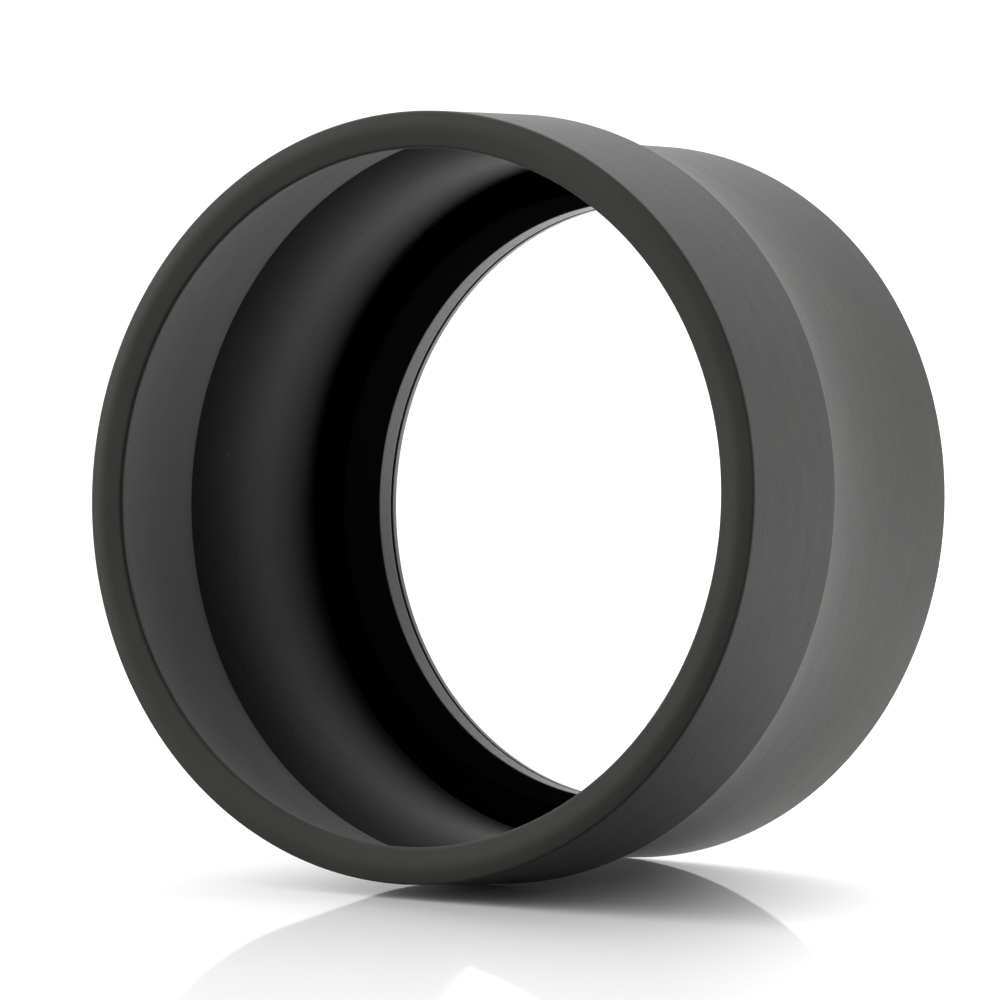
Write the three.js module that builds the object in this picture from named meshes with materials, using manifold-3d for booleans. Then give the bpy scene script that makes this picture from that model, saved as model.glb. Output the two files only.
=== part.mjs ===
// Collapsible two-stage silicone snoot with a magnetic mounting ring, for a round flash head.
// Millimetres, +Z up. The axis lies along Y: the front lip faces -Y, and the rear mounting face
// lies in the plane y = 0 and faces +Y. The origin is that face's centre.

import * as THREE from 'three';
import { mergeVertices } from 'three/addons/utils/BufferGeometryUtils.js';
import Module from 'manifold-3d';

const wasm = await Module();
wasm.setup();

// Driving dimensions
const LENGTH = 43.9;            // rear mounting face to front lip
const LIP_R = 40.5;             // outside of the front stage
const WALL = 1.35;              // silicone wall of the front stage
const THROAT_R = 31.8;          // clear bore through the mounting ring
const GAP = 0.3;                // gap between neighbouring pieces
const SEGMENTS = 64;            // facets round the axis
const SMALL_SEGMENTS = 16;      // facets round a magnet or a screw

// Front stage
const FRONT_Y = -LENGTH;
const FRONT_END_Y = FRONT_Y + 16.35;  // rear edge of the front stage, where the outside creases
const FRONT_INNER_R = LIP_R - WALL;
const LIP_INNER_R = 36.5;
const LIP_EDGE = 1.2;                 // rounding of the lip's inner edge
const SWELL_END_Y = FRONT_END_Y - 3.5;  // the wall swells from here up to the lip
const SWELL_STEPS = 5;
const SWELL_POWER = 2.6;

// Rear stage
const REAR_END_Y = -0.5;              // silicone stops short of the mounting face
const REAR_START_Y = -19.4;           // front edge of the rear stage, which the front stage clears
const REAR_BACK_R = 37.9;
const SLEEVE_STEPS = [0, 0.25, 0.55];
const REAR_INNER_R = 36.3;

// Shoulder: the outside tapers all the way from the front stage to the rear rim, ever more gently;
// the inside curves down to the rear stage's wall
const SHOULDER_STEPS = [0, 0.15, 0.35, 0.65, 1];
const OUTER_TAPER_POWER = 3.6;
const INNER_SHOULDER_POWER = 2.4;
const INNER_SHOULDER_END_Y = -17.5;

// Ring pack: throat ring, magnet ring and face plate, front to rear
const PACK_OUTER_R = 36.6;
const PLATE_THICK = 0.8;
const MAGNET_RING_THICK = 2.3;
const THROAT_THICK = 5.3;
const PLATE_FRONT_Y = -PLATE_THICK;
const MAGNET_RING_REAR_Y = PLATE_FRONT_Y - GAP;
const MAGNET_RING_FRONT_Y = MAGNET_RING_REAR_Y - MAGNET_RING_THICK;
const THROAT_REAR_Y = MAGNET_RING_FRONT_Y - GAP;
const THROAT_FRONT_Y = THROAT_REAR_Y - THROAT_THICK;
const THROAT_FLARE = 0.8;             // the throat ring's bore widens by this towards the front
const CLAMP_R = 35.6;                 // floor of the groove that grips the rear stage's bead
const CLAMP_WIDTH = 1.2;

// Magnets and screws, on one circle in the ring pack
const PITCH_R = 34.3;
const MAGNET_COUNT = 12;
const MAGNET_R = 1.75;
const MAGNET_HOLE_R = MAGNET_R + 0.2;
const MAGNET_RECESS = 0.15;
const SCREW_COUNT = 4;
const SCREW_R = 0.7;
const SCREW_HOLE_R = SCREW_R + 0.25;
const SCREW_HEAD_R = 1.4;
const SCREW_RECESS = 0.1;
const SCREW_TIP_Y = -5.6;
const PILOT_DEPTH = 2.2;
const CROSS_LENGTH = 1.5;
const CROSS_WIDTH = 0.35;
const CROSS_DEPTH = 0.35;

const MATERIALS = {
  silicone: { color: 0x3a3b39, roughness: 0.78, metalness: 0 },
  throat: { color: 0x121212, roughness: 0.35, metalness: 0 },
  magnetRing: { color: 0x3c3c3e, roughness: 0.45, metalness: 0 },
  plate: { color: 0x77797c, roughness: 0.38, metalness: 1 },
  nickel: { color: 0xb9b6ae, roughness: 0.22, metalness: 1 },
  screw: { color: 0x2b2b2c, roughness: 0.4, metalness: 1 },
};

const snoot = new THREE.Group();

// A geometry with its seams joined, so that its surface is closed.
function joined(geometry) {
  geometry.deleteAttribute('normal');
  geometry.deleteAttribute('uv');
  return mergeVertices(geometry, 1e-5);
}

// A ring turned about the Y axis from a closed outline of [radius, y] points,
// which runs outwards along the front, back along the outside and inwards along the rear.
function turned(outline, segments = SEGMENTS) {
  const points = [...outline, outline[0]].map(([r, y]) => new THREE.Vector2(r, y));
  return joined(new THREE.LatheGeometry(points, segments));
}

// A solid turned about the Y axis from an open outline that starts and ends on the axis.
function spindle(outline) {
  const points = outline.map(([r, y]) => new THREE.Vector2(r, y));
  return joined(new THREE.LatheGeometry(points, SMALL_SEGMENTS));
}

function toSolid(geometry) {
  const vertProperties = new Float32Array(geometry.attributes.position.array);
  const triVerts = new Uint32Array(geometry.index.array);
  return new wasm.Manifold(new wasm.Mesh({ numProp: 3, vertProperties, triVerts }));
}

// The base geometry with every tool geometry cut out of it.
function cut(base, tools) {
  let solid = toSolid(base);
  for (const tool of tools) {
    solid = solid.subtract(toSolid(tool));
  }
  const mesh = solid.getMesh();
  const geometry = new THREE.BufferGeometry();
  geometry.setAttribute('position', new THREE.BufferAttribute(mesh.vertProperties, 3));
  geometry.setIndex(new THREE.BufferAttribute(mesh.triVerts, 1));
  return geometry;
}

function addPiece(name, geometry, look, parent = snoot) {
  geometry.computeVertexNormals();
  const mesh = new THREE.Mesh(geometry, new THREE.MeshStandardMaterial(look));
  mesh.name = name;
  parent.add(mesh);
  return mesh;
}

// The places on the pitch circle, as angles about the Y axis.
function pitchAngles(count, firstAngle) {
  return Array.from({ length: count }, (_, i) => firstAngle + (i * 2 * Math.PI) / count);
}

const MAGNET_ANGLES = pitchAngles(MAGNET_COUNT, 0);
const SCREW_ANGLES = pitchAngles(SCREW_COUNT, Math.PI / 4);

// A copy of a geometry built on the Y axis, moved out to the pitch circle.
function atPitch(geometry, angle) {
  return geometry.clone().translate(PITCH_R * Math.cos(angle), 0, PITCH_R * Math.sin(angle));
}

function pitchHoles(outline, angles) {
  const hole = spindle(outline);
  return angles.map((angle) => atPitch(hole, angle));
}

// Front stage: a short tube whose wall swells inwards to a lip with a faintly crowned face.
function frontCup() {
  const lipStartY = FRONT_Y + LIP_EDGE;
  const swell = Array.from({ length: SWELL_STEPS + 1 }, (_, i) => [
    FRONT_INNER_R + (LIP_INNER_R - FRONT_INNER_R) * (i / SWELL_STEPS) ** SWELL_POWER,
    SWELL_END_Y + ((lipStartY - SWELL_END_Y) * i) / SWELL_STEPS,
  ]);
  return turned([
    [LIP_INNER_R + LIP_EDGE * 0.3, FRONT_Y + LIP_EDGE * 0.5],
    [LIP_INNER_R + LIP_EDGE, FRONT_Y + 0.1],
    [LIP_R - 1.6, FRONT_Y],
    [LIP_R - 0.3, FRONT_Y + 0.35],
    [LIP_R, FRONT_Y + 0.75],
    [LIP_R, FRONT_END_Y - 0.2],
    [LIP_R - 0.2, FRONT_END_Y],
    [FRONT_INNER_R, FRONT_END_Y],
    ...swell,
  ]);
}

function taperedOuterR(y) {
  const part = (REAR_END_Y - y) / (REAR_END_Y - FRONT_END_Y);
  return REAR_BACK_R + (LIP_R - 0.2 - REAR_BACK_R) * part ** OUTER_TAPER_POWER;
}

function shoulderInnerR(y) {
  const part = (INNER_SHOULDER_END_Y - y) / (INNER_SHOULDER_END_Y - FRONT_END_Y);
  return REAR_INNER_R + (FRONT_INNER_R - REAR_INNER_R) * part ** INNER_SHOULDER_POWER;
}

// Fold web: the shoulder that curves down from the front stage to the rear stage.
// It rolls inside out when the front stage is pushed back.
function foldWeb() {
  const startY = FRONT_END_Y + GAP;
  const endY = REAR_START_Y - GAP;
  const stations = SHOULDER_STEPS.map((s) => startY + (endY - startY) * s);
  const outside = stations.map((y) => [taperedOuterR(y), y]);
  const inside = stations.map((y) => [shoulderInnerR(y), y]);
  return turned([...outside, ...inside.reverse()]);
}

// Rear stage: a tapered tube with a step in front of the ring pack
// and an inner bead that the pack grips.
function rearSleeve() {
  const stepY = THROAT_FRONT_Y - GAP;
  const beadFrontY = THROAT_REAR_Y - CLAMP_WIDTH + GAP;
  const beadRearY = MAGNET_RING_FRONT_Y - GAP;
  const packWallR = PACK_OUTER_R + GAP;
  const outside = SLEEVE_STEPS.map((s) => REAR_START_Y + (REAR_END_Y - REAR_START_Y) * s)
    .map((y) => [taperedOuterR(y), y]);
  return turned([
    [shoulderInnerR(REAR_START_Y), REAR_START_Y],
    ...outside,
    [REAR_BACK_R, REAR_END_Y - 0.6],
    [REAR_BACK_R - 0.5, REAR_END_Y],
    [packWallR, REAR_END_Y],
    [packWallR, beadRearY],
    [CLAMP_R + GAP, beadRearY],
    [CLAMP_R + GAP, beadFrontY],
    [packWallR, beadFrontY],
    [packWallR, stepY],
    [REAR_INNER_R, stepY],
    [REAR_INNER_R, INNER_SHOULDER_END_Y],
  ]);
}

// Throat ring: the rigid ring deepest in the bore, flared towards the front, grooved at the back
// for the sleeve's bead, with blind pilot holes for the screws.
function throatRing() {
  const body = turned([
    [THROAT_R + THROAT_FLARE, THROAT_FRONT_Y],
    [PACK_OUTER_R - 0.3, THROAT_FRONT_Y],
    [PACK_OUTER_R, THROAT_FRONT_Y + 0.3],
    [PACK_OUTER_R, THROAT_REAR_Y - CLAMP_WIDTH],
    [CLAMP_R, THROAT_REAR_Y - CLAMP_WIDTH],
    [CLAMP_R, THROAT_REAR_Y],
    [THROAT_R, THROAT_REAR_Y],
  ]);
  const pilotOutline = [
    [0, THROAT_REAR_Y - PILOT_DEPTH],
    [SCREW_HOLE_R, THROAT_REAR_Y - PILOT_DEPTH],
    [SCREW_HOLE_R, THROAT_REAR_Y + 1],
    [0, THROAT_REAR_Y + 1],
  ];
  return cut(body, pitchHoles(pilotOutline, SCREW_ANGLES));
}

function throughHoles(radius, frontY, rearY, angles) {
  return pitchHoles([[0, frontY - 1], [radius, frontY - 1], [radius, rearY + 1], [0, rearY + 1]], angles);
}

// Magnet ring: the rigid ring with a through hole for each magnet and screw.
function magnetRing() {
  const body = turned([
    [THROAT_R, MAGNET_RING_FRONT_Y],
    [PACK_OUTER_R, MAGNET_RING_FRONT_Y],
    [PACK_OUTER_R, MAGNET_RING_REAR_Y],
    [THROAT_R, MAGNET_RING_REAR_Y],
  ]);
  return cut(body, [
    ...throughHoles(MAGNET_HOLE_R, MAGNET_RING_FRONT_Y, MAGNET_RING_REAR_Y, MAGNET_ANGLES),
    ...throughHoles(SCREW_HOLE_R, MAGNET_RING_FRONT_Y, MAGNET_RING_REAR_Y, SCREW_ANGLES),
  ]);
}

// Face plate: the thin rear plate with a window for each magnet and a countersink for each screw.
function facePlate() {
  const body = turned([
    [THROAT_R, PLATE_FRONT_Y],
    [PACK_OUTER_R, PLATE_FRONT_Y],
    [PACK_OUTER_R, -0.2],
    [PACK_OUTER_R - 0.2, 0],
    [THROAT_R + 0.2, 0],
    [THROAT_R, -0.2],
  ]);
  const countersink = [
    [0, PLATE_FRONT_Y - 1],
    [SCREW_HOLE_R, PLATE_FRONT_Y - 1],
    [SCREW_HOLE_R, PLATE_FRONT_Y],
    [SCREW_HEAD_R + 0.25, 0],
    [SCREW_HEAD_R + 0.25, 1],
    [0, 1],
  ];
  return cut(body, [
    ...throughHoles(MAGNET_HOLE_R, PLATE_FRONT_Y, 0, MAGNET_ANGLES),
    ...pitchHoles(countersink, SCREW_ANGLES),
  ]);
}

function magnet() {
  const frontY = THROAT_REAR_Y + 0.2;
  return spindle([
    [0, frontY],
    [MAGNET_R, frontY],
    [MAGNET_R, -MAGNET_RECESS],
    [0, -MAGNET_RECESS],
  ]);
}

// Countersunk screw with a cross recess.
function plateScrew() {
  const body = spindle([
    [0, SCREW_TIP_Y],
    [SCREW_R * 0.5, SCREW_TIP_Y],
    [SCREW_R, SCREW_TIP_Y + 0.6],
    [SCREW_R, PLATE_FRONT_Y - SCREW_RECESS],
    [SCREW_HEAD_R, -SCREW_RECESS],
    [0, -SCREW_RECESS],
  ]);
  const slotY = -SCREW_RECESS - CROSS_DEPTH / 2 + 0.5;
  const slots = [
    [CROSS_LENGTH, CROSS_WIDTH],
    [CROSS_WIDTH, CROSS_LENGTH],
  ].map(([x, z]) => joined(new THREE.BoxGeometry(x, CROSS_DEPTH + 1, z)).translate(0, slotY, 0));
  return cut(body, slots);
}

function addRound(prefix, digits, geometry, angles, look) {
  angles.forEach((angle, i) => {
    const place = new THREE.Group();
    place.position.set(PITCH_R * Math.cos(angle), 0, PITCH_R * Math.sin(angle));
    snoot.add(place);
    addPiece(`${prefix}_${String(i + 1).padStart(digits, '0')}`, geometry.clone(), look, place);
  });
}

addPiece('front_cup', frontCup(), MATERIALS.silicone);
addPiece('fold_web', foldWeb(), MATERIALS.silicone);
addPiece('rear_sleeve', rearSleeve(), MATERIALS.silicone);
addPiece('throat_ring', throatRing(), MATERIALS.throat);
addPiece('magnet_ring', magnetRing(), MATERIALS.magnetRing);
addPiece('face_plate', facePlate(), MATERIALS.plate);
addRound('magnet', 2, magnet(), MAGNET_ANGLES, MATERIALS.nickel);
addRound('plate_screw', 1, plateScrew(), SCREW_ANGLES, MATERIALS.screw);

export default snoot;
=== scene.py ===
# Two-stage silicone snoot with a magnetic mounting ring, leaning on a glossy white table.
# Metres, in the row's frame: the axis is Y, the lip faces -Y, the mounting face is at y = 0.

import math

import bmesh
import bpy
from mathutils import Matrix, Vector


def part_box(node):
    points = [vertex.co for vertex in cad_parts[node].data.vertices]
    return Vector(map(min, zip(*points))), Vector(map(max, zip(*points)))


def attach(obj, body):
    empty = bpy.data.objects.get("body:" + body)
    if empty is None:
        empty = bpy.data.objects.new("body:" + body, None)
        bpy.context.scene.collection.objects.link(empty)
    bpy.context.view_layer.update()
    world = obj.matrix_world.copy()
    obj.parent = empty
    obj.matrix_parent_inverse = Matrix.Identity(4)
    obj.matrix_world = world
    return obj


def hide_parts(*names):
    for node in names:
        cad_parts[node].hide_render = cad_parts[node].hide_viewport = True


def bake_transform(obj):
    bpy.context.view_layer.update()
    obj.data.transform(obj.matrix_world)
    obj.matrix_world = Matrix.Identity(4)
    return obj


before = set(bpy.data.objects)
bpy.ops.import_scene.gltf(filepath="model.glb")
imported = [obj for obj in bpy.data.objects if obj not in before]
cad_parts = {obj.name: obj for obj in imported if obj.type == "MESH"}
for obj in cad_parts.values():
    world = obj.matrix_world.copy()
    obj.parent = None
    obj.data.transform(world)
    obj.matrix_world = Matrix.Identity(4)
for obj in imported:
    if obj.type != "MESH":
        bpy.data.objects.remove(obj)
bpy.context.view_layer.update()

MM = 0.001

# Sizes read from the CAD nodes
cup_low, cup_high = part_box("front_cup")
sleeve_low, sleeve_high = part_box("rear_sleeve")
throat_low, throat_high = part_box("throat_ring")
ring_low, ring_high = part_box("magnet_ring")
plate_low, plate_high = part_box("face_plate")
magnet_low, magnet_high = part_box("magnet_01")
screw_low, screw_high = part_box("plate_screw_1")

LIP_R = cup_high.x
FRONT_Y = cup_low.y
FRONT_END_Y = cup_high.y
WALL = 1.35 * MM
CUP_INNER_R = LIP_R - WALL
LIP_INNER_R = 36.5 * MM
LIP_EDGE = 1.2 * MM
SWELL_END_Y = FRONT_END_Y - 3.5 * MM    # the wall swells from here up to the lip
SWELL_POWER = 2.6

SLEEVE_BACK_R = 37.9 * MM
SLEEVE_INNER_R = 36.3 * MM
SLEEVE_START_Y = sleeve_low.y
SLEEVE_END_Y = sleeve_high.y
OUTER_TAPER_POWER = 3.6
INNER_SHOULDER_POWER = 2.4
INNER_SHOULDER_END_Y = -17.5 * MM

PACK_R = plate_high.x
THROAT_R = 31.8 * MM
THROAT_FLARE = 0.8 * MM
PITCH_R = 34.3 * MM
MAGNET_COUNT = 12
MAGNET_R = (magnet_high.z - magnet_low.z) / 2
SCREW_COUNT = 4
SCREW_HEAD_R = (screw_high.x - screw_low.x) / 2
SCREW_BORE_R = 0.9 * MM
SCREW_SHANK_R = 0.7 * MM
FIRST_SCREW_ANGLE = math.pi / 4
HOLE_GAP = 0.12 * MM           # round a magnet
# How far the lip's swell ends outside its bore, and how far the sleeve's step is before the throat ring
EDGE_BLEND = 0.15 * MM
CROSS_SIZE = (1.5 * MM, 0.8 * MM, 0.34 * MM)

ROUND = 288           # facets round the axis on the fine pieces
SMALL_ROUND = 48      # facets round a magnet or a screw
SAG = 1.34 * MM       # how far the top of the soft lip droops under its own weight
SAG_POWER = 1.2       # the droop grows towards the lip

SILICONE_TINT = (0.046, 0.050, 0.0445)
SILICONE_SPECULAR = 0.25
BORE_SHADE_DARK = 0.5       # painted shade: colour and gloss of the bore's wall behind the front stage, against the outside's

AZIMUTH = math.radians(33.78)
ELEVATION = math.radians(4.9)      # above the table
LENS_MM = 345.6
SENSOR_MM = 36.0
EYE_DISTANCE = 987.0 * MM          # from the eye to the plane through the lip's centre
LIP_LEFT = 8.98 * MM               # the lip's centre, left of the optical axis
LIP_ABOVE = 0.945 * MM             # and above it

TABLE_WHITE = 0.85                 # how the camera sees it, bright under this light
TABLE_GLOSS = 0.13
TABLE_BOUNCE = (0.08, 0.9)         # light it throws on the snoot, less in front, more behind
TABLE_FADE = (-45 * MM, -10 * MM)
TABLE_GLOW = 2.5                   # extra light that it throws from behind
TABLE_GLOW_FADE = (-20 * MM, 40 * MM)
TABLE_BESIDE = (0, 35 * MM)        # beside the snoot the floor glows for the camera, painted light that thins out the shadow
TABLE_PAINTED_GLOW = 0.35

LIGHT_FROM = Vector((-math.sin(AZIMUTH), math.cos(AZIMUTH), 0.3)).normalized()
WORLD_DIM, WORLD_BRIGHT = 0.12, 3.0
WORLD_EDGE = (-0.15, 0.75)         # the light brightens between these, measured along LIGHT_FROM
BACKDROP = 3.0                     # what the camera sees behind the snoot
FILL_FROM = Vector((-0.8, -0.6, 0.05)).normalized()
FILL_BRIGHT = 2.2                  # soft fill from the front left
FILL_EDGE = (0.3, 0.9)


# ---------------------------------------------------------------- mesh helpers

def rounded(corners, step=0.35 * MM):
    """A closed outline of (r, y, radius) corners as finely spaced (r, y) points with arcs."""
    points = []
    count = len(corners)
    for i, (r, y, radius) in enumerate(corners):
        here = Vector((r, y))
        before = Vector(corners[i - 1][:2]) - here
        after = Vector(corners[(i + 1) % count][:2]) - here
        angle = before.angle(after)
        if radius <= 0 or angle > math.radians(177):
            points.append(here)
            continue
        reach = min(radius / math.tan(angle / 2), before.length * 0.48, after.length * 0.48)
        size = reach * math.tan(angle / 2)
        centre = here + (before.normalized() + after.normalized()).normalized() * (size / math.sin(angle / 2))
        start = here + before.normalized() * reach - centre
        end = here + after.normalized() * reach - centre
        turn = start.angle_signed(end)
        arc_steps = max(3, int(abs(turn) / math.radians(12)))
        for k in range(arc_steps + 1):
            spun = Matrix.Rotation(-turn * k / arc_steps, 2) @ start
            points.append(centre + spun)
    return spaced(points, step)


def spaced(points, step):
    """The closed outline with extra points, so that no stretch is longer than step."""
    fine = []
    for i, here in enumerate(points):
        onward = points[(i + 1) % len(points)] - here
        pieces = max(1, int(math.ceil(onward.length / step)))
        fine += [here + onward * (k / pieces) for k in range(pieces)]
    return fine


def new_object(name, mesh_builder):
    mesh = bpy.data.meshes.new(name)
    work = bmesh.new()
    mesh_builder(work)
    bmesh.ops.remove_doubles(work, verts=work.verts, dist=1e-7)
    bmesh.ops.recalc_face_normals(work, faces=work.faces)
    work.to_mesh(mesh)
    work.free()
    mesh.shade_smooth()
    mesh.set_sharp_from_angle(angle=math.radians(40))
    piece = bpy.data.objects.new(name, mesh)
    bpy.context.scene.collection.objects.link(piece)
    return piece


def turned(name, outline, segments=ROUND):
    """A ring turned about the Y axis from a closed outline of (r, y) points."""
    def build(work):
        rings = []
        for s in range(segments):
            angle = 2 * math.pi * s / segments
            c, n = math.cos(angle), math.sin(angle)
            rings.append([work.verts.new((r * c, y, r * n)) for r, y in outline])
        for s in range(segments):
            a, b = rings[s], rings[(s + 1) % segments]
            for k in range(len(outline)):
                m = (k + 1) % len(outline)
                work.faces.new((a[k], a[m], b[m], b[k]))
    return new_object(name, build)


def spindle(name, outline, segments=SMALL_ROUND):
    """A solid turned about the Y axis from an open outline that starts and ends on the axis."""
    def build(work):
        rings = []
        for r, y in outline[1:-1]:
            turns = [2 * math.pi * s / segments for s in range(segments)]
            rings.append([work.verts.new((r * math.cos(a), y, r * math.sin(a))) for a in turns])
        for low, high in zip(rings, rings[1:]):
            for s in range(segments):
                t = (s + 1) % segments
                work.faces.new((low[s], low[t], high[t], high[s]))
        for ring, (_, y) in ((rings[0], outline[0]), (rings[-1], outline[-1])):
            tip = work.verts.new((0, y, 0))
            for s in range(segments):
                work.faces.new((ring[s], ring[(s + 1) % segments], tip))
    return new_object(name, build)


def cut(piece, tools):
    """Cuts the tools out of the piece, then removes the tools."""
    for tool in tools:
        change = piece.modifiers.new("cut", "BOOLEAN")
        change.operation = "DIFFERENCE"
        change.solver = "EXACT"
        change.object = tool
    bpy.context.view_layer.update()
    solid = bpy.data.meshes.new_from_object(piece.evaluated_get(bpy.context.evaluated_depsgraph_get()))
    piece.modifiers.clear()
    piece.data = solid
    for tool in tools:
        bpy.data.objects.remove(tool)


def sharp_by_angle(piece, degrees):
    piece.data.shade_smooth()
    piece.data.set_sharp_from_angle(angle=math.radians(degrees))


def pitch_place(count, index, first=0.0):
    angle = first + 2 * math.pi * index / count
    return Vector((PITCH_R * math.cos(angle), 0, PITCH_R * math.sin(angle)))


def moved(piece, offset):
    piece.data.transform(Matrix.Translation(offset))
    return piece


# ---------------------------------------------------------------- materials

def new_material(name):
    material = bpy.data.materials.new(name)
    material.use_nodes = True
    tree = material.node_tree
    return material, tree, tree.nodes["Principled BSDF"]


def add_node(tree, kind, **settings):
    node = tree.nodes.new(kind)
    for key, value in settings.items():
        if key in node.inputs:
            node.inputs[key].default_value = value
        else:
            setattr(node, key, value)
    return node


def object_noise(tree, scale, detail=2.0, roughness=0.5, stretch=(1, 1, 1)):
    place = add_node(tree, "ShaderNodeTexCoord")
    mapping = add_node(tree, "ShaderNodeMapping")
    mapping.inputs["Scale"].default_value = stretch
    noise = add_node(tree, "ShaderNodeTexNoise", Scale=scale, Detail=detail, Roughness=roughness)
    tree.links.new(place.outputs["Object"], mapping.inputs["Vector"])
    tree.links.new(mapping.outputs["Vector"], noise.inputs["Vector"])
    return noise.outputs["Fac"]


def remap(tree, value, low, high, to_low, to_high):
    node = add_node(tree, "ShaderNodeMapRange")
    node.inputs["From Min"].default_value = low
    node.inputs["From Max"].default_value = high
    node.inputs["To Min"].default_value = to_low
    node.inputs["To Max"].default_value = to_high
    tree.links.new(value, node.inputs["Value"])
    return node.outputs["Result"]


def mix_colour(tree, factor, dark, light):
    node = add_node(tree, "ShaderNodeMix", data_type="RGBA")
    node.inputs["A"].default_value = (*dark, 1)
    node.inputs["B"].default_value = (*light, 1)
    tree.links.new(factor, node.inputs["Factor"])
    return node.outputs["Result"]


def add_bump(tree, shader, height, distance, strength=1.0, previous=None):
    bump = add_node(tree, "ShaderNodeBump", Strength=strength, Distance=distance)
    tree.links.new(height, bump.inputs["Height"])
    if previous is not None:
        tree.links.new(previous, bump.inputs["Normal"])
    tree.links.new(bump.outputs["Normal"], shader.inputs["Normal"])
    return bump.outputs["Normal"]


def math_node(tree, operation, first, second):
    node = add_node(tree, "ShaderNodeMath", operation=operation)
    for socket, value in zip(node.inputs, (first, second)):
        if isinstance(value, (int, float)):
            socket.default_value = value
        else:
            tree.links.new(value, socket)
    return node.outputs["Value"]


def bore_shade_factor(tree):
    """1 on the bore's wall behind the front stage, 0 on the rest: where shade is painted into the colour and
    gloss.

    The wall is darkened; it isn't a known finish of the silicone.
    """
    place = add_node(tree, "ShaderNodeTexCoord")
    split = add_node(tree, "ShaderNodeSeparateXYZ")
    tree.links.new(place.outputs["Object"], split.inputs[0])
    squares = [math_node(tree, "MULTIPLY", split.outputs[axis], split.outputs[axis]) for axis in ("X", "Z")]
    radius = math_node(tree, "SQRT", math_node(tree, "ADD", *squares), 0)
    near_wall = remap(tree, radius, SLEEVE_INNER_R + 0.6 * MM, SLEEVE_INNER_R + 1.4 * MM, 1, 0)
    shoulder = remap(tree, split.outputs["Y"], FRONT_END_Y, SLEEVE_START_Y, CUP_INNER_R - SLEEVE_INNER_R, 0)
    beyond = math_node(tree, "SUBTRACT", radius, SLEEVE_INNER_R + 0.7 * MM)
    web_wall = math_node(tree, "LESS_THAN", beyond, shoulder)
    behind = math_node(tree, "GREATER_THAN", split.outputs["Y"], FRONT_END_Y)
    wall = math_node(tree, "MAXIMUM", near_wall, web_wall)
    return math_node(tree, "MULTIPLY", wall, behind)


def silicone(name, tint):
    """Matte moulded silicone: fine grain, cloudy bloom, stray dust, a soft sheen, and painted shade that
    darkens the bore's wall.
    """
    material, tree, shader = new_material(name)
    cloud = remap(tree, object_noise(tree, 55, 4, 0.6), 0.3, 0.7, 0, 1)
    outer = mix_colour(tree, cloud, [c * 0.9 for c in tint], [c * 1.1 for c in tint])
    bore_shade = bore_shade_factor(tree)
    # Painted shade: the bore's wall takes a darker colour.
    shaded = add_node(tree, "ShaderNodeMix", data_type="RGBA")
    shaded.inputs["B"].default_value = (*[c * BORE_SHADE_DARK for c in tint], 1)
    tree.links.new(bore_shade, shaded.inputs["Factor"])
    tree.links.new(outer, shaded.inputs["A"])
    dust = remap(tree, object_noise(tree, 900, 2, 0.7), 0.72, 0.8, 0, 0.35)
    dusty = add_node(tree, "ShaderNodeMix", data_type="RGBA")
    dusty.inputs["B"].default_value = (*[c * 2.5 for c in tint], 1)
    tree.links.new(dust, dusty.inputs["Factor"])
    tree.links.new(shaded.outputs["Result"], dusty.inputs["A"])
    tree.links.new(dusty.outputs["Result"], shader.inputs["Base Color"])
    grain = object_noise(tree, 4200, 3, 0.6)
    tree.links.new(remap(tree, grain, 0.3, 0.7, 0.62, 0.74), shader.inputs["Roughness"])
    ripple = object_noise(tree, 120, 2, 0.5, (1, 3, 1))
    waved = add_bump(tree, shader, ripple, 0.15 * MM, 0.4)
    add_bump(tree, shader, grain, 0.05 * MM, 0.5, waved)
    # Painted shade: the bore's wall takes less gloss.
    specular = remap(tree, bore_shade, 0, 1, SILICONE_SPECULAR, SILICONE_SPECULAR * BORE_SHADE_DARK)
    tree.links.new(specular, shader.inputs["Specular IOR Level"])
    shader.inputs["Sheen Weight"].default_value = 0.08
    shader.inputs["Sheen Roughness"].default_value = 0.5
    return material


def plain_material(name, colour, roughness, metallic=0.0, specular=0.5):
    material, tree, shader = new_material(name)
    noise = object_noise(tree, 3000, 2)
    tree.links.new(mix_colour(tree, noise, [c * 0.85 for c in colour], [c * 1.15 for c in colour]),
                   shader.inputs["Base Color"])
    uneven = remap(tree, noise, 0.3, 0.7, roughness - 0.05, roughness + 0.05)
    tree.links.new(uneven, shader.inputs["Roughness"])
    shader.inputs["Metallic"].default_value = metallic
    shader.inputs["Specular IOR Level"].default_value = specular
    add_bump(tree, shader, noise, 0.02 * MM, 0.4)
    return material


silicone_look = silicone("silicone", SILICONE_TINT)
# Black plastic, with its colour pushed near black and its gloss left out as painted shade in the throat.
throat_shade_look = plain_material("throat_plastic_painted_shade", (0.002, 0.002, 0.002), 0.8, specular=0)
ring_look = plain_material("ring_plastic", (0.024, 0.024, 0.025), 0.5, specular=0.25)
plate_look = plain_material("plate_coat", (0.05, 0.05, 0.052), 0.5)
nickel_look = plain_material("nickel", (0.18, 0.176, 0.168), 0.3, 1.0)
screw_look = plain_material("black_oxide", (0.04, 0.04, 0.042), 0.38, 1.0)


def finish_piece(piece, look, body, nodes):
    piece.data.materials.clear()
    piece.data.materials.append(look)
    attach(piece, body)
    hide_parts(*nodes)


# ---------------------------------------------------------------- silicone stages

def sagged(piece):
    """Lets the soft wall droop at the top and spread at the sides, more and more towards the lip."""
    for vertex in piece.data.vertices:
        x, y, z = vertex.co
        droop = SAG * max(0.0, y / FRONT_Y) ** SAG_POWER
        vertex.co.x = x * (1 + droop / (2 * LIP_R))
        vertex.co.z = z - droop * (1 + z / LIP_R) / 2
    return piece


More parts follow.
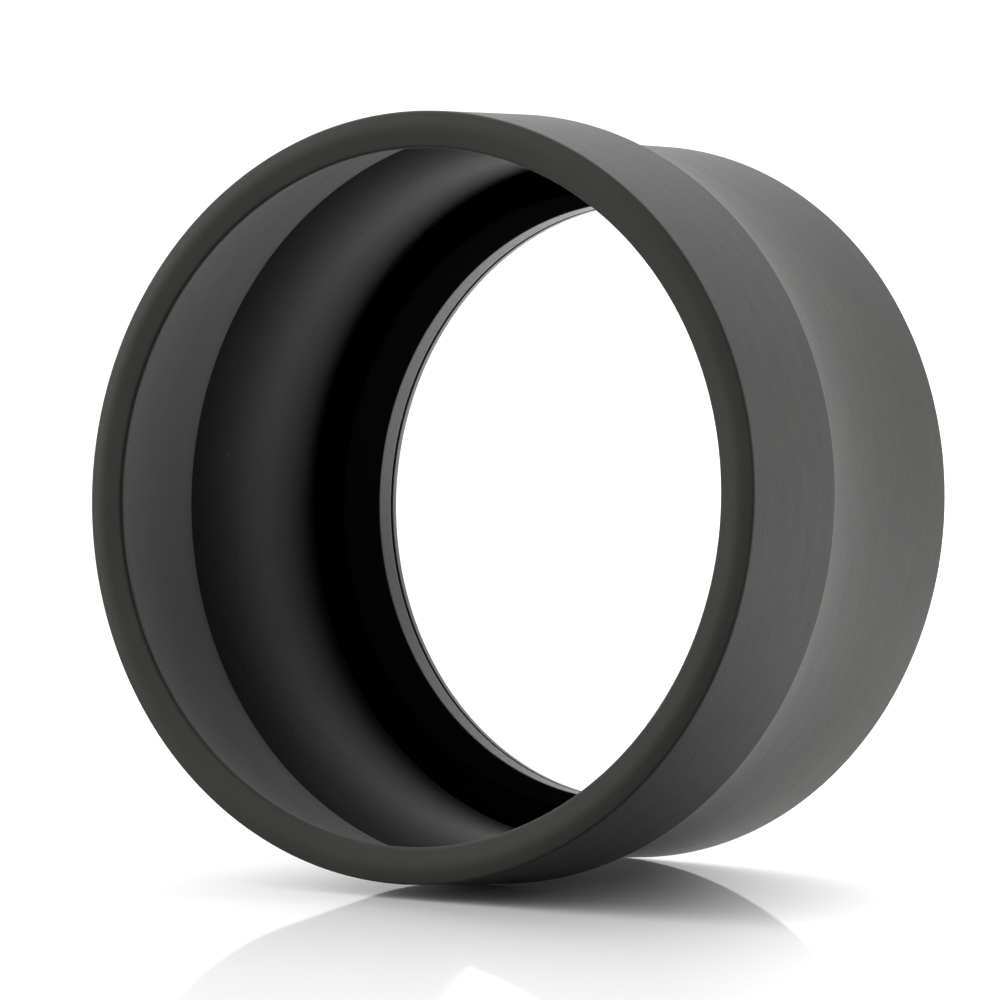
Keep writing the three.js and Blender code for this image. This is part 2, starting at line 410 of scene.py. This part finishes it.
def front_stage(steps=16):
    swell = []
    for k in range(steps + 1):
        part = k / steps
        swell.append((CUP_INNER_R + (LIP_INNER_R + EDGE_BLEND - CUP_INNER_R) * part ** SWELL_POWER,
                      SWELL_END_Y + (FRONT_Y + LIP_EDGE - SWELL_END_Y) * part, 0))
    outline = rounded([
        (LIP_INNER_R, FRONT_Y + 0.35 * MM, LIP_EDGE),
        (LIP_R - 1.6 * MM, FRONT_Y, 3 * MM),
        (LIP_R, FRONT_Y + 0.45 * MM, 0.35 * MM),
        (LIP_R, FRONT_END_Y, 0),
        (CUP_INNER_R, FRONT_END_Y, 0),
        *swell,
    ])
    piece = sagged(turned("front_stage", outline))
    finish_piece(piece, silicone_look, "front_stage", ["front_cup"])


def outer_r(y):
    part = (SLEEVE_END_Y - y) / (SLEEVE_END_Y - FRONT_END_Y)
    return SLEEVE_BACK_R + (LIP_R - 0.2 * MM - SLEEVE_BACK_R) * part ** OUTER_TAPER_POWER


def shoulder_inner_r(y):
    part = (INNER_SHOULDER_END_Y - y) / (INNER_SHOULDER_END_Y - FRONT_END_Y)
    return SLEEVE_INNER_R + (CUP_INNER_R - SLEEVE_INNER_R) * part ** INNER_SHOULDER_POWER


def stations(start, end, count):
    return [start + (end - start) * k / count for k in range(count + 1)]


def rear_stage():
    pack_wall = PACK_R + 0.2 * MM
    shoulder_end = [(shoulder_inner_r(y), y, 0) for y in stations(INNER_SHOULDER_END_Y, SLEEVE_START_Y, 6)]
    outside = [(outer_r(y), y, 0) for y in stations(SLEEVE_START_Y, SLEEVE_END_Y, 20)[:-1]]
    outline = rounded([
        *outside,
        (SLEEVE_BACK_R, SLEEVE_END_Y, 0.5 * MM),
        (pack_wall, SLEEVE_END_Y, 0.1 * MM),
        (pack_wall, throat_low.y - EDGE_BLEND, 0),
        (SLEEVE_INNER_R, throat_low.y - EDGE_BLEND, 0.1 * MM),
        *shoulder_end,
    ])
    piece = sagged(turned("rear_stage", outline))
    finish_piece(piece, silicone_look, "rear_stage", ["rear_sleeve"])


def web():
    along = stations(FRONT_END_Y, SLEEVE_START_Y, 40)
    outside = [Vector((outer_r(y), y)) for y in along]
    inside = [Vector((shoulder_inner_r(y), y)) for y in along]
    piece = sagged(turned("fold_skin", spaced(outside + inside[::-1], 0.35 * MM)))
    piece.data.materials.append(silicone_look)
    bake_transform(piece)
    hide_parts("fold_web")


# ---------------------------------------------------------------- ring pack

def throat():
    outline = rounded([
        (THROAT_R + THROAT_FLARE, throat_low.y, 0.3 * MM),
        (PACK_R, throat_low.y, 0.3 * MM),
        (PACK_R, throat_high.y, 0.1 * MM),
        (THROAT_R, throat_high.y, 0.05 * MM),
    ])
    piece = turned("throat", outline)
    finish_piece(piece, throat_shade_look, "rear_stage", ["throat_ring"])


def hole_cutter(name, radius, low, high, chamfer):
    """A cylinder on the Y axis that flares at its high end, as a cutter for a chamfered hole."""
    return spindle(name, [
        (0, low),
        (radius, low),
        (radius, high - chamfer),
        (radius + chamfer * 2, high + chamfer),
        (0, high + chamfer),
    ])


def holder():
    outline = rounded([
        (THROAT_R, ring_low.y, 0.15 * MM),
        (PACK_R, ring_low.y, 0.2 * MM),
        (PACK_R, ring_high.y, 0.2 * MM),
        (THROAT_R, ring_high.y, 0.15 * MM),
    ])
    piece = turned("magnet_holder", outline)
    tools = [
        moved(hole_cutter(f"bore_{i}", MAGNET_R + HOLE_GAP, ring_low.y - MM, ring_high.y + MM, 0),
              pitch_place(MAGNET_COUNT, i))
        for i in range(MAGNET_COUNT)
    ]
    tools += [
        moved(hole_cutter(f"shank_{i}", SCREW_BORE_R, ring_low.y - MM, ring_high.y + MM, 0),
              pitch_place(SCREW_COUNT, i, FIRST_SCREW_ANGLE))
        for i in range(SCREW_COUNT)
    ]
    cut(piece, tools)
    sharp_by_angle(piece, 40)
    finish_piece(piece, ring_look, "rear_stage", ["magnet_ring"])


def plate():
    outline = rounded([
        (THROAT_R, plate_low.y, 0.1 * MM),
        (PACK_R, plate_low.y, 0.1 * MM),
        (PACK_R, plate_high.y, 0.2 * MM),
        (THROAT_R, plate_high.y, 0.2 * MM),
    ], 0.5 * MM)
    piece = turned("seat_plate", outline)
    tools = [
        moved(hole_cutter(f"window_{i}", MAGNET_R + HOLE_GAP, plate_low.y - MM, plate_high.y, 0.12 * MM),
              pitch_place(MAGNET_COUNT, i))
        for i in range(MAGNET_COUNT)
    ]
    slope = (SCREW_HEAD_R + 0.15 * MM - SCREW_BORE_R) / (plate_high.y - plate_low.y)
    spill = 0.2 * MM
    sink = [
        (0, plate_low.y - MM),
        (SCREW_BORE_R - slope * spill, plate_low.y - MM),
        (SCREW_BORE_R - slope * spill, plate_low.y - spill),
        (SCREW_HEAD_R + 0.15 * MM + slope * spill, plate_high.y + spill),
        (0, plate_high.y + spill),
    ]
    tools += [
        moved(spindle(f"sink_{i}", sink), pitch_place(SCREW_COUNT, i, FIRST_SCREW_ANGLE))
        for i in range(SCREW_COUNT)
    ]
    cut(piece, tools)
    sharp_by_angle(piece, 35)
    finish_piece(piece, plate_look, "rear_stage", ["face_plate"])


def magnets():
    low, high, edge = magnet_low.y, magnet_high.y, 0.15 * MM
    for i in range(MAGNET_COUNT):
        piece = spindle(f"disc_magnet_{i + 1:02d}", [
            (0, low),
            (MAGNET_R - edge, low),
            (MAGNET_R, low + edge),
            (MAGNET_R, high - edge),
            (MAGNET_R - edge * 0.3, high - edge * 0.3),
            (MAGNET_R - edge, high),
            (MAGNET_R * 0.5, high),
            (0, high),
        ])
        moved(piece, pitch_place(MAGNET_COUNT, i))
        sharp_by_angle(piece, 50)
        finish_piece(piece, nickel_look, "rear_stage", [f"magnet_{i + 1:02d}"])


def screws():
    low, high = screw_low.y, screw_high.y
    neck = plate_low.y - 0.1 * MM
    for i in range(SCREW_COUNT):
        piece = spindle(f"cross_screw_{i + 1}", [
            (0, low),
            (0.4 * MM, low),
            (SCREW_SHANK_R, low + 0.6 * MM),
            (SCREW_SHANK_R, neck),
            (SCREW_HEAD_R - 0.05 * MM, high - 0.05 * MM),
            (SCREW_HEAD_R - 0.15 * MM, high),
            (0.6 * MM, high),
            (0, high),
        ])
        slots = []
        for k in range(2):
            bpy.ops.mesh.primitive_cube_add(size=1)
            slot = bpy.context.object
            slot.data.transform(Matrix.Diagonal((*CROSS_SIZE, 1)))
            slot.data.transform(Matrix.Rotation(math.pi / 2 * k + 0.3 * i, 4, "Y"))
            slot.data.transform(Matrix.Translation((0, high, 0)))
            slots.append(slot)
        cut(piece, slots)
        moved(piece, pitch_place(SCREW_COUNT, i, FIRST_SCREW_ANGLE))
        sharp_by_angle(piece, 35)
        finish_piece(piece, screw_look, "rear_stage", [f"plate_screw_{i + 1}"])


front_stage()
web()
rear_stage()
throat()
holder()
plate()
magnets()
screws()


# ---------------------------------------------------------------- table, light and camera

# The snoot rests on the rear edge of its front stage and on its rear rim,
# so the table leans against the row's frame by this angle.
REST_FRONT = Vector((0, FRONT_END_Y - 0.3 * MM, -LIP_R))
REST_REAR = Vector((0, SLEEVE_END_Y - 0.5 * MM, -SLEEVE_BACK_R))
LEAN = math.atan2(REST_REAR.z - REST_FRONT.z, REST_REAR.y - REST_FRONT.y)
TABLE_UP = Vector((0, -math.sin(LEAN), math.cos(LEAN)))


def table():
    bpy.ops.mesh.primitive_plane_add(size=40)
    top = bpy.context.object
    top.name = "table"
    top.rotation_euler = (LEAN, 0, 0)
    top.location = REST_FRONT - TABLE_UP * 0.05 * MM
    material, tree, shader = new_material("table_gloss")
    place = add_node(tree, "ShaderNodeNewGeometry")
    split = add_node(tree, "ShaderNodeSeparateXYZ")
    tree.links.new(place.outputs["Position"], split.inputs[0])
    bounce = remap(tree, split.outputs["Y"], *TABLE_FADE, *TABLE_BOUNCE)
    path = add_node(tree, "ShaderNodeLightPath")
    shade = add_node(tree, "ShaderNodeMix", data_type="FLOAT")
    tree.links.new(path.outputs["Is Camera Ray"], shade.inputs["Factor"])
    tree.links.new(bounce, shade.inputs["A"])
    shade.inputs["B"].default_value = TABLE_WHITE
    tree.links.new(shade.outputs["Result"], shader.inputs["Base Color"])
    behind = remap(tree, split.outputs["Y"], *TABLE_GLOW_FADE, 0, TABLE_GLOW)
    across = add_node(tree, "ShaderNodeVectorMath", operation="DOT_PRODUCT")
    across.inputs[1].default_value = (math.cos(AZIMUTH), math.sin(AZIMUTH), 0)
    tree.links.new(place.outputs["Position"], across.inputs[0])
    # Painted light: camera rays see the floor glow beside the snoot, so its shadow thins out.
    beside = remap(tree, across.outputs["Value"], *TABLE_BESIDE, 0, TABLE_PAINTED_GLOW)
    beside.node.interpolation_type = "SMOOTHSTEP"
    glow = add_node(tree, "ShaderNodeMix", data_type="FLOAT")
    tree.links.new(path.outputs["Is Camera Ray"], glow.inputs["Factor"])
    tree.links.new(behind, glow.inputs["A"])
    tree.links.new(beside, glow.inputs["B"])
    shader.inputs["Emission Color"].default_value = (1, 1, 1, 1)
    tree.links.new(glow.outputs["Result"], shader.inputs["Emission Strength"])
    shader.inputs["Specular IOR Level"].default_value = 0
    shader.inputs["Roughness"].default_value = 1
    haze = object_noise(tree, 6, 2)
    gloss = add_node(tree, "ShaderNodeBsdfGlossy", Color=(1, 1, 1, 1))
    tree.links.new(remap(tree, haze, 0.3, 0.7, 0.03, 0.05), gloss.inputs["Roughness"])
    both = add_node(tree, "ShaderNodeMixShader", Fac=TABLE_GLOSS)
    tree.links.new(shader.outputs[0], both.inputs[1])
    tree.links.new(gloss.outputs[0], both.inputs[2])
    tree.links.new(both.outputs[0], tree.nodes["Material Output"].inputs["Surface"])
    top.data.materials.append(material)


def surround():
    """A soft world light, bright from behind the snoot, with a fill from the front left.

    Camera rays see plain white instead of the light.
    """
    world = bpy.data.worlds.new("studio")
    bpy.context.scene.world = world
    world.use_nodes = True
    tree = world.node_tree
    tree.nodes.clear()
    direction = add_node(tree, "ShaderNodeTexCoord")
    facing = add_node(tree, "ShaderNodeVectorMath", operation="DOT_PRODUCT")
    facing.inputs[1].default_value = LIGHT_FROM
    tree.links.new(direction.outputs["Generated"], facing.inputs[0])
    level = remap(tree, facing.outputs["Value"], *WORLD_EDGE, WORLD_DIM, WORLD_BRIGHT)
    level.node.interpolation_type = "SMOOTHSTEP"
    side = add_node(tree, "ShaderNodeVectorMath", operation="DOT_PRODUCT")
    side.inputs[1].default_value = FILL_FROM
    tree.links.new(direction.outputs["Generated"], side.inputs[0])
    fill = remap(tree, side.outputs["Value"], *FILL_EDGE, 0, FILL_BRIGHT)
    fill.node.interpolation_type = "SMOOTHSTEP"
    total = add_node(tree, "ShaderNodeMath", operation="ADD")
    tree.links.new(level, total.inputs[0])
    tree.links.new(fill, total.inputs[1])
    light = add_node(tree, "ShaderNodeBackground")
    tree.links.new(total.outputs["Value"], light.inputs["Strength"])
    white = add_node(tree, "ShaderNodeBackground", Strength=BACKDROP)
    path = add_node(tree, "ShaderNodeLightPath")
    choose = add_node(tree, "ShaderNodeMixShader")
    out = add_node(tree, "ShaderNodeOutputWorld")
    tree.links.new(path.outputs["Is Camera Ray"], choose.inputs["Fac"])
    tree.links.new(light.outputs["Background"], choose.inputs[1])
    tree.links.new(white.outputs["Background"], choose.inputs[2])
    tree.links.new(choose.outputs["Shader"], out.inputs["Surface"])


def camera():
    along = Vector((0, math.cos(LEAN), math.sin(LEAN)))
    level = Vector((-math.sin(AZIMUTH), 0, 0)) + along * math.cos(AZIMUTH)
    look = level * math.cos(ELEVATION) - TABLE_UP * math.sin(ELEVATION)
    right = look.cross(TABLE_UP).normalized()
    up = right.cross(look)
    data = bpy.data.cameras.new("camera")
    data.sensor_width = SENSOR_MM
    data.lens = LENS_MM
    data.clip_start, data.clip_end = 0.05, 200
    eye = bpy.data.objects.new("camera", data)
    bpy.context.scene.collection.objects.link(eye)
    turn = Matrix((right, up, -look)).transposed()
    eye.rotation_mode = "QUATERNION"
    eye.rotation_quaternion = turn.to_quaternion()
    lip_centre = Vector((0, FRONT_Y, 0))
    eye.location = lip_centre + right * LIP_LEFT - up * LIP_ABOVE - look * EYE_DISTANCE
    bpy.context.scene.camera = eye
    bpy.context.scene.view_settings.view_transform = "Standard"


table()
surround()
camera()
